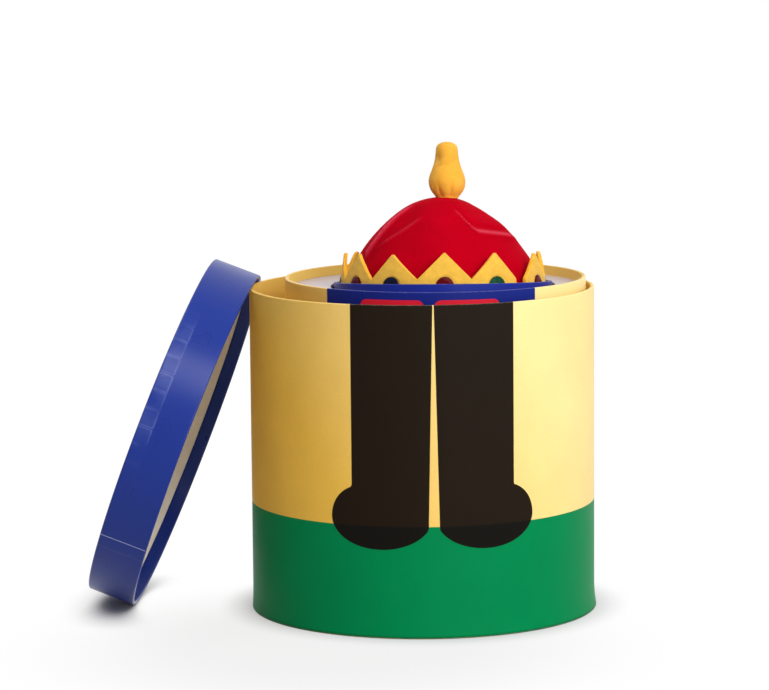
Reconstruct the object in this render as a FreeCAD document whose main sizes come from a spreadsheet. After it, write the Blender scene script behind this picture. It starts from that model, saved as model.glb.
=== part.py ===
"""Jack in the box: a king in three nesting paperboard drums, with a loose lid.

The leg drum is the box. The torso drum stands loose inside it, a little to the right, and lifts out.
The head drum stands on a coil spring inside the torso drum and slides through the shoulder ring.
A felt crown, a stuffed velvet cap and a stuffed finial sit in the top of the head drum.
The lid leans on the box's rim and stands on the table.

Frame, in millimetres: Z up, origin at the centre of the box's floor on the table, front towards -Y.
"""
import FreeCAD
import Part
import math
import os
import re
import Sketcher
from FreeCAD import Placement, Rotation, Vector

# Driving dimensions, in millimetres and degrees
SIZES = {
    # Shared stock
    "wrap_paper": (0.35, "printed paper on the outside of every drum"),
    "seat_gap": (0.3, "clearance of pieces that rest on a curved or moving seat"),
    "wrap_set_back": (1.0, "the leg drum's paper ends this far above the table"),
    # Leg drum
    "drum_radius": (100.0, "leg drum, outside its paper"),
    "drum_height": (187.3, "leg drum, table to rim"),
    "drum_board": (1.65, "leg drum wall"),
    "drum_floor": (3.0, "leg drum floor board"),
    "hoop_board": (1.5, "strips that hold the floors and rings"),
    "floor_hoop_height": (12.0, "strip above each floor"),
    # Torso drum
    "torso_clearance": (10.8, "torso drum to the leg drum's bore, on the radius"),
    "torso_rise": (5.7, "torso drum's rim above the box's rim"),
    "torso_side_gap": (2.8, "torso drum to the leg drum's bore on the right, where it stands closest"),
    "torso_board": (1.7, "torso drum wall"),
    "torso_floor": (2.5, "torso drum floor board"),
    "shoulder_drop": (5.5, "shoulder ring's top below the torso rim"),
    "shoulder_board": (2.0, "shoulder ring"),
    "shoulder_hoop_height": (14.0, "strip under the shoulder ring"),
    # Head drum
    "shoulder_width": (21.85, "head drum to the torso drum's bore, on the radius"),
    "head_length": (84.0, "head drum, along its own axis"),
    "head_board": (1.6, "head drum wall"),
    "head_off_centre": (4.4, "head drum's axis right of the torso drum's axis, at its rim"),
    "head_drop": (3.3, "centre of the head drum's rim below the torso drum's rim"),
    "head_tilt": (4.8, "head drum leans back by this angle"),
    "head_clearance": (1.9, "head drum to the hole in the shoulder ring"),
    "platform_board": (3.0, "board that closes the head drum's foot"),
    "flange_reach": (6.0, "stop flange beyond the head drum"),
    "flange_board": (2.0, "stop flange"),
    # Spring and its fittings
    "spring_radius": (30.0, "spring, axis to wire centre"),
    "spring_wire": (2.0, "spring wire"),
    "spring_pitch": (11.7, "least height for each turn of the spring"),
    "spring_board": (4.0, "board under the spring"),
    "spring_board_radius": (42.0, "board under the spring"),
    "clip_sheet": (0.6, "metal of the saddle clips"),
    "clip_width": (5.0, "saddle clips, along the wire"),
    "clip_foot": (4.0, "foot of a saddle clip, each side"),
    # Crown and jewels
    "felt": (2.2, "crown felt"),
    "crown_gap": (0.3, "crown's foot to the head drum's wall"),
    "crown_lean": (7.4, "crown leans in towards the cap"),
    "crown_points": (12.0, "points of the crown"),
    "crown_tip": (17.0, "crown's tips above the head drum's rim"),
    "crown_valley": (2.5, "crown's valleys above the head drum's rim"),
    "crown_tuck": (12.0, "crown below the head drum's rim"),
    "point_flat": (1.0, "width of a crown point's tip"),
    "crown_opening": (8.2, "angle between the two ends of the crown's strip"),
    "crown_joint": (48.6, "angle from the front, to the right, to the middle of that opening"),
    "jewel_radius": (5.2, "jewels"),
    "jewel_drop": (1.0, "centres of the jewels below the head drum's rim"),
    "jewel_dome": (0.55, "jewels stand out of the felt"),
    "jewel_table": (3.1, "radius of a jewel's flat top"),
    "jewel_gap": (0.1, "jewel to its hole in the felt"),
    # Cap and finial
    "hat_board_thick": (2.0, "board that carries the crown and cap"),
    "cap_gap": (1.95, "cap to the crown's felt where its dome starts"),
    "cap_start": (5.6, "height of that start above the head drum's rim"),
    "cap_dome": (43.5, "cap's dome, start to the point of its curve"),
    "cap_power": (0.42, "roundness of the dome: half is a paraboloid, less is fuller"),
    "cap_flat": (9.5, "radius of the cap's gathered top"),
    "cap_fold": (1.3, "depth of the cap's soft folds"),
    "finial_shift": (2.8, "finial stands this far right of the head drum's axis"),
    "finial_height": (33.2, "finial above the cap"),
    "finial_neck": (6.4, "radius of the finial's gathered base"),
    "finial_belly": (10.0, "largest radius of the finial"),
    "finial_waist": (6.5, "radius above the belly"),
    "finial_crown": (5.6, "radius near the finial's top"),
    "finial_gather": (0.7, "depth of the gathers at the finial's base"),
    "tie_thread": (0.5, "radius of the thread round the finial's base"),
    # Lid
    "lid_clearance": (0.9, "lid skirt to the leg drum when it is on"),
    "lid_board": (1.65, "lid top and skirt"),
    "lid_depth": (27.9, "lid, open edge to the outside of its top"),
    "lid_turn_in": (7.8, "paper turned over the open edge and glued inside"),
    "lid_liner_paper": (0.4, "paper inside the lid's top"),
    "lid_foot_out": (68.7, "lid's foot on the table to the box's wall"),
    "lid_yaw": (3.3, "open side turned towards the front"),
    "lid_back": (7.0, "lid's centre behind the box's axis"),
}

doc = FreeCAD.newDocument("jack_in_the_box")
sheet = doc.addObject("Spreadsheet::Sheet", "Sizes")
for row, (alias, (value, meaning)) in enumerate(SIZES.items(), start=1):
    sheet.set(f"A{row}", meaning)
    sheet.set(f"B{row}", str(value))
    sheet.setAlias(f"B{row}", alias)
doc.recompute()
SUB_PARTS = []


def size(alias):
    """A driving dimension as the sheet holds it."""
    return float(sheet.get(alias))


def formula(text):
    """A formula of the sheet's aliases, as an expression of this document."""
    return re.sub(r"[a-z_]+", lambda word: "Sizes." + word[0] if word[0] in SIZES else word[0], text)


# Formulas that several pieces share
DRUM_BORE = "drum_radius - wrap_paper - drum_board"
TORSO_RADIUS = f"{DRUM_BORE} - torso_clearance"
TORSO_SHIFT = "torso_clearance - torso_side_gap"
TORSO_WALL = f"{TORSO_RADIUS} - wrap_paper"
TORSO_BORE = f"{TORSO_WALL} - torso_board"
TORSO_FLOOR_TOP = "drum_floor + torso_floor"
TORSO_RIM = "drum_height + torso_rise"
SHOULDER_TOP = f"{TORSO_RIM} - shoulder_drop"
SPRING_FOOT = f"{TORSO_FLOOR_TOP} + spring_board"
HEAD_RADIUS = f"{TORSO_BORE} - shoulder_width"
HEAD_SHIFT = f"{TORSO_SHIFT} + head_off_centre"
HEAD_RIM = f"{TORSO_RIM} - head_drop"
HEAD_WALL = f"{HEAD_RADIUS} - wrap_paper"
HEAD_BORE = f"{HEAD_WALL} - head_board"
LID_BORE = "drum_radius + lid_clearance"
LID_SKIRT_BORE = f"{LID_BORE} + wrap_paper"
LID_SKIRT = f"{LID_SKIRT_BORE} + lid_board"
LID_OUTSIDE = f"{LID_SKIRT} + wrap_paper"
LID_TOP_UNDERSIDE = "lid_depth - wrap_paper - lid_board"


def crown_outside(level):
    """Radius of the leaning crown's outside at a level above the head drum's rim, as a formula."""
    return f"{HEAD_BORE} - crown_gap - (crown_tuck + {level}) * tan(crown_lean * 1 deg)"


def crown_inside(level):
    return f"{crown_outside(level)} - felt / cos(crown_lean * 1 deg)"


CAP_RADIUS = f"({crown_inside('cap_start')} - cap_gap)"
CAP_TOP = f"(cap_start + cap_dome * (1 - (cap_flat / {CAP_RADIUS}) ^ (1 / cap_power)))"


def worked_out(text):
    """The number that a formula of the sheet gives now."""
    return float(sheet.evalExpression(formula(text)))


# Making sketches and bodies

def new_body(label):
    """An empty body, which may hold a group of separate solids."""
    body = doc.addObject("PartDesign::Body", label)
    body.Label = label
    body.AllowCompound = True
    SUB_PARTS.append(body)
    return body


def origin_feature(body, role):
    return next(feature for feature in body.Origin.OriginFeatures if feature.Role == role)


def new_sketch(body, name, plane, turn_axis=Vector(0, 0, 1), turn=0.0):
    """A sketch on one of the body's own planes, turned in place by an angle."""
    sketch = body.newObject("Sketcher::SketchObject", name)
    sketch.AttachmentSupport = [(origin_feature(body, plane), "")]
    sketch.MapMode = "FlatFace"
    sketch.AttachmentOffset = Placement(Vector(), Rotation(turn_axis, turn))
    return sketch


def bind_constraint(sketch, name, constraint, text):
    """Add a named constraint whose value is a formula of the sheet."""
    sketch.renameConstraint(sketch.addConstraint(constraint), name)
    sketch.setExpression("Constraints." + name, formula(text))


def add_circle(sketch, name, radius, centre_x=None):
    """A circle about the sketch's origin, or about a point of its X axis given by a formula."""
    value = worked_out(radius)
    place = Vector(worked_out(centre_x or "0"), 0, 0)
    circle = sketch.addGeometry(Part.Circle(place, Vector(0, 0, 1), value), False)
    bind_constraint(sketch, name, Sketcher.Constraint("Radius", circle, value), radius)
    if centre_x is None:
        sketch.addConstraint(Sketcher.Constraint("Coincident", circle, 3, -1, 1))
        return
    sketch.addConstraint(Sketcher.Constraint("PointOnObject", circle, 3, -1))
    pull = Sketcher.Constraint("DistanceX", -1, 1, circle, 3, place.x)
    bind_constraint(sketch, name + "_at_x", pull, centre_x)


def add_outline(sketch, corners):
    """A closed outline of straight lines, each corner held by two formulas."""
    places = [Vector(worked_out(x), worked_out(y), 0) for x, y in corners]
    count = len(corners)
    for index in range(count):
        sketch.addGeometry(Part.LineSegment(places[index], places[(index + 1) % count]), False)
    for index, (x, y) in enumerate(corners):
        sketch.addConstraint(Sketcher.Constraint("Coincident", index, 2, (index + 1) % count, 1))
        for axis, text, at in (("X", x, places[index].x), ("Y", y, places[index].y)):
            pull = Sketcher.Constraint("Distance" + axis, -1, 1, index, 1, at)
            bind_constraint(sketch, f"corner_{index}_{axis.lower()}", pull, text)


def add_pad(body, sketch, length, midplane=False):
    pad = body.newObject("PartDesign::Pad", sketch.Name + "_pad")
    pad.Profile = sketch
    pad.Midplane = midplane
    pad.setExpression("Length", formula(length))
    return pad


def add_revolution(body, sketch):
    """Turn a sketch all the way round its own vertical axis."""
    turned = body.newObject("PartDesign::Revolution", sketch.Name + "_turned")
    turned.Profile = sketch
    turned.ReferenceAxis = (sketch, ["V_Axis"])
    return turned


def add_polar_pattern(body, feature, count, angle=360.0):
    """Repeat a feature about the body's Z axis."""
    pattern = body.newObject("PartDesign::PolarPattern", feature.Name + "_pattern")
    pattern.Originals = [feature]
    pattern.Axis = (origin_feature(body, "Z_Axis"), [""])
    pattern.Angle = angle
    if isinstance(count, str):
        pattern.setExpression("Occurrences", formula(count))
    else:
        pattern.Occurrences = count
    body.Tip = pattern
    return pattern


def add_front_pocket(body, sketch, depth, count=None, angle=360.0):
    """Cut a sketch of the XZ plane through the front wall, and repeat the cut about Z if a count is given."""
    doc.recompute()
    before = body.Shape.Volume
    pocket = body.newObject("PartDesign::Pocket", sketch.Name + "_pocket")
    pocket.Profile = sketch
    pocket.Reversed = True
    pocket.setExpression("Length", formula(depth))
    body.Tip = pocket
    if count is not None:
        add_polar_pattern(body, pocket, count, angle)
    doc.recompute()
    if body.Shape.Volume > before - 1.0:
        raise RuntimeError(sketch.Name + " cuts nothing")


def ring(label, outer, inner, bottom, height, hole_x=None):
    """A round wall, hoop, disc or ring padded up from a level; its hole may lie off centre along X."""
    body = new_body(label)
    sketch = new_sketch(body, label + "_outline", "XY_Plane")
    add_circle(sketch, "outer", outer)
    if inner is not None:
        add_circle(sketch, "inner", inner, hole_x)
    sketch.setExpression("AttachmentOffset.Base.z", formula(bottom))
    add_pad(body, sketch, height)
    return body


# Where the three bodies that move stand

def stand_in_torso(part, shift=TORSO_SHIFT):
    """Stand a piece on the torso drum's axis, or further right."""
    part.setExpression("Placement.Base.x", formula(shift))
    return part


def stand_on_head(part, shift="0", along="0"):
    """Local zero is the centre of the head drum's rim, or lies to its right or along its axis, local Z."""
    part.Placement = Placement(Vector(), Rotation(Vector(-1, 0, 0), size("head_tilt")))
    part.setExpression("Placement.Base.x", formula(f"{HEAD_SHIFT} + {shift}"))
    part.setExpression("Placement.Base.y", formula(f"({along}) * sin(head_tilt * 1 deg)"))
    level = f"{HEAD_RIM} + ({along}) * cos(head_tilt * 1 deg)"
    part.setExpression("Placement.Base.z", formula(level))
    part.setExpression("Placement.Rotation.Angle", formula("head_tilt"))
    return part


def lid_place(lean):
    """Stand the lid's open edge on the table and lean it towards the box.

    Local zero is the centre of the open edge, and local Z points to the closed top.
    """
    turn = Rotation(Vector(0, 0, 1), -size("lid_yaw")) * Rotation(Vector(0, 1, 0), lean - 90)
    foot = turn.multVec(Vector(-worked_out(LID_OUTSIDE), 0, 0))
    foot_x = -size("drum_radius") - size("lid_foot_out")
    return Placement(Vector(foot_x - foot.x, size("lid_back"), -foot.z), turn)


def lid_is_clear(place):
    """Is the lid's open edge clear of the box's wall, and the box's rim clear of the inside of the lid?"""
    bore, outside = worked_out(LID_BORE), worked_out(LID_OUTSIDE)
    wall = size("drum_radius") + size("seat_gap")
    rim = size("drum_height") + size("seat_gap")
    floor = worked_out(f"{LID_TOP_UNDERSIDE} - lid_liner_paper")
    from_box = place.inverse()
    for angle in range(360):
        way = Vector(math.cos(math.radians(angle)), math.sin(math.radians(angle)), 0)
        for radius in (bore, outside):
            edge = place.multVec(way * radius)
            if edge.z < rim and math.hypot(edge.x, edge.y) < wall:
                return False
        at = from_box.multVec(way * wall + Vector(0, 0, rim))
        reach = math.hypot(at.x, at.y)
        if at.z > 0 and bore < reach < outside or at.z > floor and reach < outside:
            return False
    return True


def lid_rest_place():
    """The largest lean at which the lid, hooked over the rim, is still clear of the box."""
    low, high = 0.0, 89.0
    while high - low > 1e-3:
        middle = (low + high) / 2
        if lid_is_clear(lid_place(middle)):
            low = middle
        else:
            high = middle
    print(f"lid leans {low:.2f} degrees")
    return lid_place(low)


# Leg drum

def make_leg_drum():
    ring("leg_drum_wall", "drum_radius - wrap_paper", DRUM_BORE, "0", "drum_height")
    ring("leg_drum_wrap", "drum_radius", "drum_radius - wrap_paper", "wrap_set_back",
         "drum_height - wrap_set_back")
    ring("leg_drum_base", DRUM_BORE, None, "0", "drum_floor")
    ring("leg_drum_base_hoop", DRUM_BORE, f"{DRUM_BORE} - hoop_board", "drum_floor", "floor_hoop_height")


# Torso drum

def make_torso_drum():
    hoop_bore = f"{TORSO_BORE} - hoop_board"
    hole = f"{HEAD_RADIUS} + head_clearance"
    pieces = [
        ring("torso_wall", TORSO_WALL, TORSO_BORE, "drum_floor", f"{TORSO_RIM} - drum_floor"),
        ring("torso_wrap", TORSO_RADIUS, TORSO_WALL, "drum_floor + wrap_set_back",
             f"{TORSO_RIM} - drum_floor - wrap_set_back"),
        ring("torso_base", TORSO_BORE, None, "drum_floor", "torso_floor"),
        ring("torso_base_hoop", TORSO_BORE, hoop_bore, TORSO_FLOOR_TOP, "floor_hoop_height"),
        ring("shoulder_ring", TORSO_BORE, hole, f"{SHOULDER_TOP} - shoulder_board", "shoulder_board",
             hole_x="head_off_centre"),
        ring("shoulder_hoop", TORSO_BORE, hoop_bore,
             f"{SHOULDER_TOP} - shoulder_board - shoulder_hoop_height", "shoulder_hoop_height"),
    ]
    for piece in pieces:
        stand_in_torso(piece)
    seat = ring("spring_seat", "spring_board_radius", None, TORSO_FLOOR_TOP, "spring_board")
    stand_in_torso(seat, HEAD_SHIFT)


# Head drum

def make_head_drum():
    foot = "-head_length"
    hat_board_top = "-crown_tuck"
    pieces = [
        ring("head_drum_wall", HEAD_WALL, HEAD_BORE, foot, "head_length"),
        ring("head_drum_wrap", HEAD_RADIUS, HEAD_WALL, foot, "head_length"),
        ring("head_platform", HEAD_BORE, None, foot, "platform_board"),
        ring("head_stop_flange", f"{HEAD_RADIUS} + flange_reach", HEAD_RADIUS, foot, "flange_board"),
        ring("hat_board", HEAD_BORE, None, f"{hat_board_top} - hat_board_thick", "hat_board_thick"),
        ring("hat_board_hoop", HEAD_BORE, f"{HEAD_BORE} - hoop_board",
             f"{hat_board_top} - hat_board_thick - floor_hoop_height", "floor_hoop_height"),
    ]
    for piece in pieces:
        stand_on_head(piece)


# Spring: one wire with a flat half turn at each end, and saddle clips over the flat stretches

FLAT_TURNS = 0.5
RAMP_TURNS = 0.6
SPANS_PER_TURN = 4
CLIPS = 3
CLIP_ARC = 158.0
CLIP_START = 11.0


def ramp_integral(turn):
    """Turns climbed at the full pitch by this turn: zero while flat, then a smooth ramp, then one for one."""
    share = min(max((turn - FLAT_TURNS) / RAMP_TURNS, 0.0), 1.0)
    ramped = RAMP_TURNS * (share ** 3 - share ** 4 / 2)
    return ramped + max(turn - FLAT_TURNS - RAMP_TURNS, 0.0)


def spring_ends():
    """The two end points of the spring's axis, and the leaning head's up direction."""
    tilt = math.radians(size("head_tilt"))
    up = Vector(0, math.sin(tilt), math.cos(tilt))
    rim = Vector(worked_out(HEAD_SHIFT), 0, worked_out(HEAD_RIM))
    inset = size("seat_gap") + size("spring_wire") / 2
    foot = Vector(rim.x, 0, worked_out(SPRING_FOOT) + inset)
    return foot, rim - up * (size("head_length") + inset), up


def spring_turns():
    """The whole turns that the spring's height has room for."""
    foot, top, _ = spring_ends()
    return math.floor((top - foot).Length / size("spring_pitch"))


def spring_point(turn):
    """A point of the wire's centre line after this many turns.

    The axis is a cubic from the seat, upright, to the platform, along the head's axis. The climb is flat
    at both ends, and the ring's plane turns with the head's lean as it climbs.
    """
    turns = spring_turns()
    full = 2 * ramp_integral(turns / 2)
    climbed = ramp_integral(turn) if turn <= turns / 2 else full - ramp_integral(turns - turn)
    part = climbed / full
    foot, top, up = spring_ends()
    length = (top - foot).Length
    axis = (foot * (2 * part ** 3 - 3 * part ** 2 + 1) + top * (3 * part ** 2 - 2 * part ** 3)
            + Vector(0, 0, length) * (part ** 3 - 2 * part ** 2 + part)
            + up * (length * (part ** 3 - part ** 2)))
    lean = math.radians(size("head_tilt")) * part
    across = Vector(0, math.cos(lean), -math.sin(lean))
    angle = 2 * math.pi * turn
    return axis + (Vector(1, 0, 0) * math.cos(angle) + across * math.sin(angle)) * size("spring_radius")


def spring_direction(turn):
    step = 1e-4
    ahead, behind = min(turn + step, spring_turns()), max(turn - step, 0.0)
    return (spring_point(ahead) - spring_point(behind)).normalize()


def biarc(start, start_way, end, end_way):
    """Two arcs that leave start and reach end along the given directions and join smoothly."""
    chord = end - start
    ways = start_way + end_way
    a = 2 * (1 - start_way.dot(end_way))
    b = 2 * chord.dot(ways)
    reach = (-b + math.sqrt(b * b + 4 * a * chord.dot(chord))) / (2 * a)
    start_corner = start + start_way * reach
    end_corner = end - end_way * reach
    middle = (start_corner + end_corner) * 0.5
    return [arc_through(start, start_corner, middle), arc_through(middle, end_corner, end)]


def arc_through(start, corner, end):
    """The arc that touches the two equal lines from a corner."""
    chord_middle = (start + end) * 0.5
    half_chord = (end - start).Length / 2
    side = (corner - start).Length
    sagitta = half_chord * (side - half_chord) / (corner - chord_middle).Length
    return Part.Arc(start, chord_middle + (corner - chord_middle).normalize() * sagitta, end).toShape()


def print_spring_gap():
    """Measure the least gap between turns on points of the wire."""
    points = [spring_point(step / 40) for step in range(spring_turns() * 40 + 1)]
    apart = min((points[low] - points[high]).Length
                for low in range(len(points)) for high in range(low + 20, min(low + 80, len(points))))
    print(f"least gap between the spring's turns: {apart - size('spring_wire'):.2f} mm")


def make_spring():
    edges = []
    for span in range(spring_turns() * SPANS_PER_TURN):
        low, high = span / SPANS_PER_TURN, (span + 1) / SPANS_PER_TURN
        edges += biarc(spring_point(low), spring_direction(low), spring_point(high), spring_direction(high))
    path = Part.Wire(edges)
    section = Part.Wire(Part.Circle(spring_point(0), spring_direction(0), size("spring_wire") / 2).toShape())
    spring = doc.addObject("Part::Feature", "pop_spring")
    spring.Shape = path.makePipeShell([section], True, False)
    spring.Label = "pop_spring"
    SUB_PARTS.append(spring)
    print_spring_gap()


def make_clips(label, level, up, first_angle):
    """Saddles over a flat stretch of the spring, seated on a board at a level; up is + or - from it."""
    cavity = "spring_wire / 2 + seat_gap * 2"
    inside = "spring_radius"
    height = "(spring_wire + seat_gap * 2)"
    body = new_body(label)
    sketch = new_sketch(body, label + "_outline", "XZ_Plane", Vector(0, 1, 0), first_angle)
    foot = f"({cavity} + clip_sheet + clip_foot)"
    hump = f"({cavity} + clip_sheet)"
    half = [(foot, "0"), (f"({cavity})", "0"), (f"({cavity})", height)]
    over = [(hump, f"({height} + clip_sheet)"), (hump, "clip_sheet"), (foot, "clip_sheet")]
    left = [(f"{inside} - {x}", z) for x, z in half]
    right = [(f"{inside} + {x}", z) for x, z in reversed(half)]
    right_over = [(f"{inside} + {x}", z) for x, z in reversed(over)]
    left_over = [(f"{inside} - {x}", z) for x, z in over]
    corners = [(x, f"{level} {up} {z}") for x, z in left + right + right_over + left_over]
    add_outline(sketch, corners)
    pad = add_pad(body, sketch, "clip_width", midplane=True)
    add_polar_pattern(body, pad, CLIPS, CLIP_ARC)
    return body


# Crown and jewels

def point_pitch():
    """Angle between neighbouring points of the crown's strip."""
    return (360.0 - size("crown_opening")) / size("crown_points")


def point_turn(number):
    """Angle from the front to a point of the crown, counted to the right from the strip's first end."""
    return size("crown_joint") + size("crown_opening") / 2 + (number + 0.5) * point_pitch()


def make_crown():
    """A felt strip bent to a leaning band, with an open joint, notches and a round hole in each point."""
    crown = new_body("crown")
    band = new_sketch(crown, "crown_band", "XZ_Plane")
    foot, tip = "-crown_tuck", "crown_tip"
    add_outline(band, [(crown_inside(foot), foot), (crown_outside(foot), foot),
                       (crown_outside(tip), tip), (crown_inside(tip), tip)])
    add_revolution(crown, band)
    upright = Vector(0, 1, 0)
    half_pitch, half_opening = "(180 - crown_opening / 2) / crown_points * 1 deg", "crown_opening / 2 * 1 deg"
    last_turn = (size("crown_points") - 1) * point_pitch()

    notch = new_sketch(crown, "crown_notch", "XZ_Plane", upright, point_turn(0.5))
    mouth = f"(({crown_outside(tip)}) * sin({half_pitch}) - point_flat / 2)"
    add_outline(notch, [(f"-{mouth}", tip), ("0", "crown_valley"), (mouth, tip)])
    add_front_pocket(crown, notch, "drum_radius", "crown_points - 1", last_turn - point_pitch())

    opening = new_sketch(crown, "crown_open_joint", "XZ_Plane", upright, size("crown_joint"))
    end = f"(({crown_outside('crown_valley')}) * sin({half_opening}))"
    mouth = f"(({crown_outside(tip)}) * sin({half_pitch} + {half_opening}) - point_flat / 2)"
    below = f"{foot} - seat_gap"
    add_outline(opening, [(f"-{mouth}", tip), (f"-{end}", "crown_valley"), (f"-{end}", below),
                          (end, below), (end, "crown_valley"), (mouth, tip)])
    add_front_pocket(crown, opening, "drum_radius")

    hole = new_sketch(crown, "crown_jewel_hole", "XZ_Plane", upright, point_turn(0))
    add_circle(hole, "jewel_hole", "jewel_radius + jewel_gap")
    hole.setExpression("AttachmentOffset.Base.y", formula("-jewel_drop"))
    add_front_pocket(crown, hole, "drum_radius", "crown_points", last_turn)
    stand_on_head(crown)


def make_jewels(label, first_point, step):
    """Bevelled round stones in the felt's holes, every few points from a first one."""
    body = new_body(label)
    sketch = new_sketch(body, label + "_profile", "XY_Plane", turn=point_turn(first_point))
    back, face = f"-({crown_inside('0')})", f"-({crown_outside('0')})"
    table = f"{face} - jewel_dome"
    add_outline(sketch, [("0", back), ("jewel_radius", back), ("jewel_radius", face),
                         ("jewel_table", table), ("0", table)])
    sketch.setExpression("AttachmentOffset.Base.z", formula("-jewel_drop"))
    count = int(size("crown_points")) // step
    add_polar_pattern(body, add_revolution(body, sketch), count, (count - 1) * step * point_pitch())
    stand_on_head(body)


# Cap and finial: stuffed forms, lofted through rings of soft folds

CAP_FOLDS = 8
CAP_RINGS = 6
CAP_RING_CROWDING = 1.6
CAP_FOLD_SHARE = 0.08
FINIAL_GATHERS = 6


def fold_ring(radius, level, folds, depth):
    """A ring of shallow arcs that meet in creases, as cloth does between its folds."""
    def at(angle, reach):
        return Vector(reach * math.sin(angle), -reach * math.cos(angle), level)
    step = 2 * math.pi / folds
    arcs = []
    for fold in range(folds):
        low = fold * step
        crease, next_crease = at(low, radius - depth), at(low + step, radius - depth)
        arcs.append(Part.Arc(crease, at(low + step / 2, radius), next_crease))
    return Part.Wire([arc.toShape() for arc in arcs])


def cap_radius_at(level):
    """The dome is a power of the height left to its point, and runs straight down from its start."""
    left = 1 - max(level - size("cap_start"), 0.0) / size("cap_dome")
    return worked_out(CAP_RADIUS) * left ** size("cap_power")


def make_stuffed(label, rings, shift="0"):
    piece = doc.addObject("Part::Feature", label)
    piece.Shape = Part.makeLoft(rings, True, False)
    piece.Label = label
    SUB_PARTS.append(piece)
    stand_on_head(piece, shift)


def make_cap():
    """Rings from the hat board up to the gathered top, closer together where the dome turns in."""
    start, rise = size("cap_start"), worked_out(f"{CAP_TOP} - cap_start")
    levels = [-size("crown_tuck"), start / 2]
    for step in range(1, CAP_RINGS + 1):
        left = 1 - step / CAP_RINGS
        levels.append(start + rise * (1 - left ** CAP_RING_CROWDING))
    rings = []
    for level in levels:
        radius = cap_radius_at(level)
        rings.append(fold_ring(radius, level, CAP_FOLDS, min(size("cap_fold"), CAP_FOLD_SHARE * radius)))
    make_stuffed("cap", rings)


def make_finial():
    """Pinched at the base, widest a quarter of the way up, then a slim waist and a round top.

    Each ring has its share of the height, its radius and its share of the gathers' depth.
    """
    neck, belly = size("finial_neck"), size("finial_belly")
    waist, top = size("finial_waist"), size("finial_crown")
    base = worked_out(CAP_TOP)
    profile = [(0.0, neck, 1.0), (0.11, (neck + belly) / 2, 0.7), (0.28, belly, 0.4),
               (0.45, (belly + waist) / 2, 0.2), (0.62, waist, 0.1), (0.88, top, 0.1),
               (0.97, 0.8 * top, 0.1), (1.0, 0.4 * top, 0.1)]
    rings = []
    for share, radius, depth in profile:
        level = base + share * size("finial_height")
        rings.append(fold_ring(radius, level, FINIAL_GATHERS, depth * size("finial_gather")))
    make_stuffed("finial", rings, "finial_shift")


def make_finial_tie():
    """A turn of thread that lies round the gathered base, on the cap's top."""
    tie = doc.addObject("Part::Torus", "finial_tie")
    tie.Label = "finial_tie"
    tie.setExpression("Radius1", formula("finial_neck + tie_thread + seat_gap * 2"))
    tie.setExpression("Radius2", formula("tie_thread"))
    SUB_PARTS.append(tie)
    stand_on_head(tie, "finial_shift", f"{CAP_TOP} + tie_thread")


# Lid

def make_lid():
    place = lid_rest_place()
    pieces = [
        ring("lid_skirt", LID_SKIRT, LID_SKIRT_BORE, "wrap_paper", f"{LID_TOP_UNDERSIDE} - wrap_paper"),
        ring("lid_top", LID_SKIRT, None, LID_TOP_UNDERSIDE, "lid_board"),
        ring("lid_liner", f"{LID_SKIRT_BORE} - seat_gap", None, f"{LID_TOP_UNDERSIDE} - lid_liner_paper",
             "lid_liner_paper"),
        make_lid_wrap(),
    ]
    for piece in pieces:
        piece.Placement = place


def make_lid_wrap():
    """One paper over the top, down the skirt, round its open edge and a little way up inside."""
    body = new_body("lid_wrap")
    paper = new_sketch(body, "lid_wrap_paper", "XZ_Plane")
    under_top = "lid_depth - wrap_paper"
    inner_side = [("0", under_top), (LID_SKIRT, under_top), (LID_SKIRT, "wrap_paper"),
                  (LID_SKIRT_BORE, "wrap_paper"), (LID_SKIRT_BORE, "lid_turn_in")]
    outer_side = [(LID_BORE, "lid_turn_in"), (LID_BORE, "0"), (LID_OUTSIDE, "0"),
                  (LID_OUTSIDE, "lid_depth"), ("0", "lid_depth")]
    add_outline(paper, inner_side + outer_side)
    add_revolution(body, paper)
    return body


def build():
    make_leg_drum()
    make_torso_drum()
    make_head_drum()
    make_spring()
    stand_in_torso(make_clips("spring_seat_clips", f"({SPRING_FOOT})", "+", CLIP_START), HEAD_SHIFT)
    stand_on_head(make_clips("spring_top_clips", "-head_length", "-", CLIP_START + 180.0))
    make_crown()
    make_jewels("jewels_red", 0, 2)
    make_jewels("jewels_green", 3, 4)
    make_jewels("jewels_blue", 1, 4)
    make_cap()
    make_finial()
    make_finial_tie()
    make_lid()
    doc.recompute()


def check_and_write():
    """Stop if any object failed or any shape is null or invalid, and write one file for each sub-part."""
    failed = [thing.Name for thing in doc.Objects if {"Invalid", "Error"} & set(thing.State)]
    broken = [part.Label for part in SUB_PARTS if part.Shape.isNull() or not part.Shape.isValid()]
    if failed or broken:
        raise RuntimeError(f"failed: {failed}, not valid: {broken}")
    os.makedirs("parts", exist_ok=True)
    for part in SUB_PARTS:
        part.Shape.exportStep(f"parts/{part.Label}.step")
        print(f"{part.Label}: {len(part.Shape.Solids)} solids, {part.Shape.Volume:.0f} mm3")


build()
check_and_write()
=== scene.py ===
# %% [markdown]
# # A jack in the box of nesting drums
#
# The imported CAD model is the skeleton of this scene: printed paperboard drums that stand one inside the
# other, a coil spring, a felt crown with glass-like stones, a stuffed cap and a loose lid. This lesson
# dresses that skeleton. Boards whose CAD shape is right only get a material. Papers, felt, cloth and the
# spring are made again as fine surfaces, because a print, a fold or a coil that stretches needs more
# points than a CAD face has.

import math
from functools import partial

import bpy
import numpy as np
from mathutils import Matrix


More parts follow.
